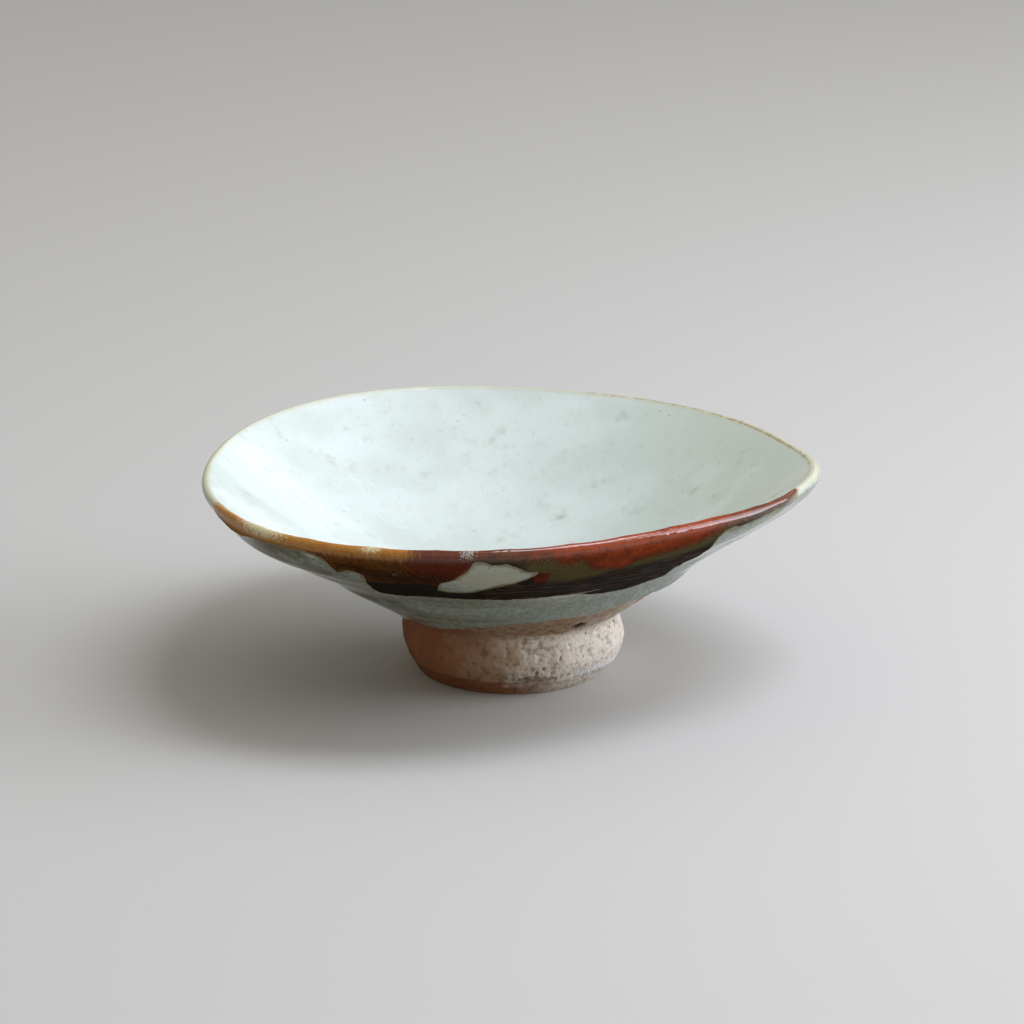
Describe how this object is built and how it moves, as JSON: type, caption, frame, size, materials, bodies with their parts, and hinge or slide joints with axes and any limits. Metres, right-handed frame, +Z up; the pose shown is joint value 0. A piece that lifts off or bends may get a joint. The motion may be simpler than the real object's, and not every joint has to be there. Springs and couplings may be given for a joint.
{
  "type": "tea bowl",
  "caption": "Wide shallow ceramic tea bowl with its rim drawn out to a soft tip, pale glaze inside and out, an iron glazed front lip and a tall bare clay foot ring.",
  "frame": {"origin": "on the table, under the middle of the bowl's outline", "axes": "+Z up out of the bowl, +X towards the drawn-out tip of the rim, -Y towards the side with the iron glaze"},
  "size_m": [0.1502, 0.1464, 0.0517],
  "materials": {
    "clay": "bare, coarse and gritty, fired stoneware clay",
    "slip": "bare, matt clay slip",
    "pale_glaze": "pale grey-green ash glaze, glossy, with fine iron specks",
    "ochre_iron_glaze": "ochre to brown iron glaze, glossy, black where it pooled",
    "rust_iron_glaze": "rust red iron glaze over olive and black streaks, glossy"
  },
  "bodies": {
    "root": {"clay_bowl": "clay", "foot_ring": "clay", "joint_slip": "slip", "inside_glaze": "pale_glaze", "outside_glaze": "pale_glaze", "iron_dip_left": "ochre_iron_glaze", "iron_dip_right": "rust_iron_glaze"}
  },
  "joints": []
}
